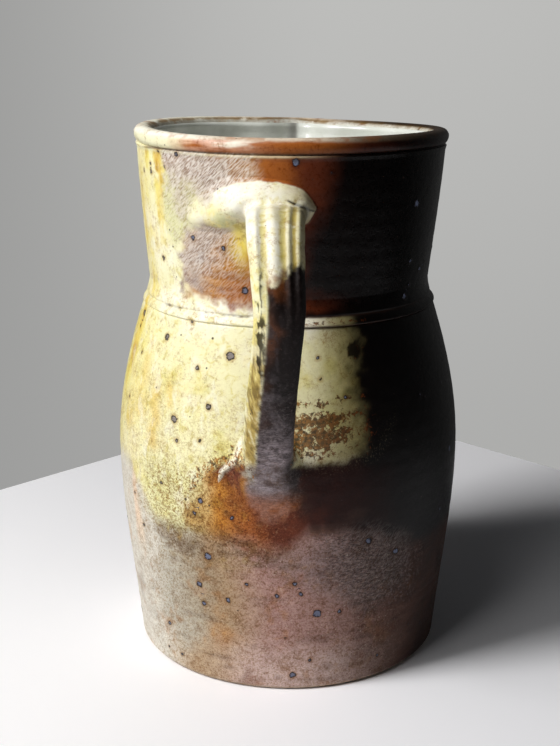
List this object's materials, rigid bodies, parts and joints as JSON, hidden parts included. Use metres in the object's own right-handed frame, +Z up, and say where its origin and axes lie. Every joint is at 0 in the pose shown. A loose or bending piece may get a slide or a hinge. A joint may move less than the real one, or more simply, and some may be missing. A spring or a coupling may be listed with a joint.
{
  "type": "stoneware pouring jug",
  "caption": "Tall thrown stoneware jug with a round belly, a waisted collar with a pulled pouring lip, and a fluted strap handle luted on; it holds and pours a drink.",
  "frame": {"origin": "centre of the foot face that the jug stands on", "axes": "+Z up the jug, -Y towards the handle, +Y towards the pouring lip, +X to the right with the handle facing the viewer"},
  "size_m": [0.1656, 0.2008, 0.2516],
  "materials": {
    "body_clay": "bare iron clay low down with a runny pale green ash glaze higher up",
    "collar_glaze": "glossy rust brown glaze with cream ash on one flank and dull crawled patches",
    "strap_glaze": "cream and yellow ash glaze over iron brown",
    "coil_ash": "pale cream ash glaze, satin",
    "wad_clay": "lilac grey clay with an ash edge, dull",
    "liner": "smooth glossy grey white liner glaze"
  },
  "bodies": {
    "root": {"lower_body": "body_clay", "neck_collar": "collar_glaze", "strap_handle": "strap_glaze", "upper_joint_coil": "coil_ash", "lower_joint_wad": "wad_clay", "liner_glaze": "liner"}
  },
  "joints": []
}
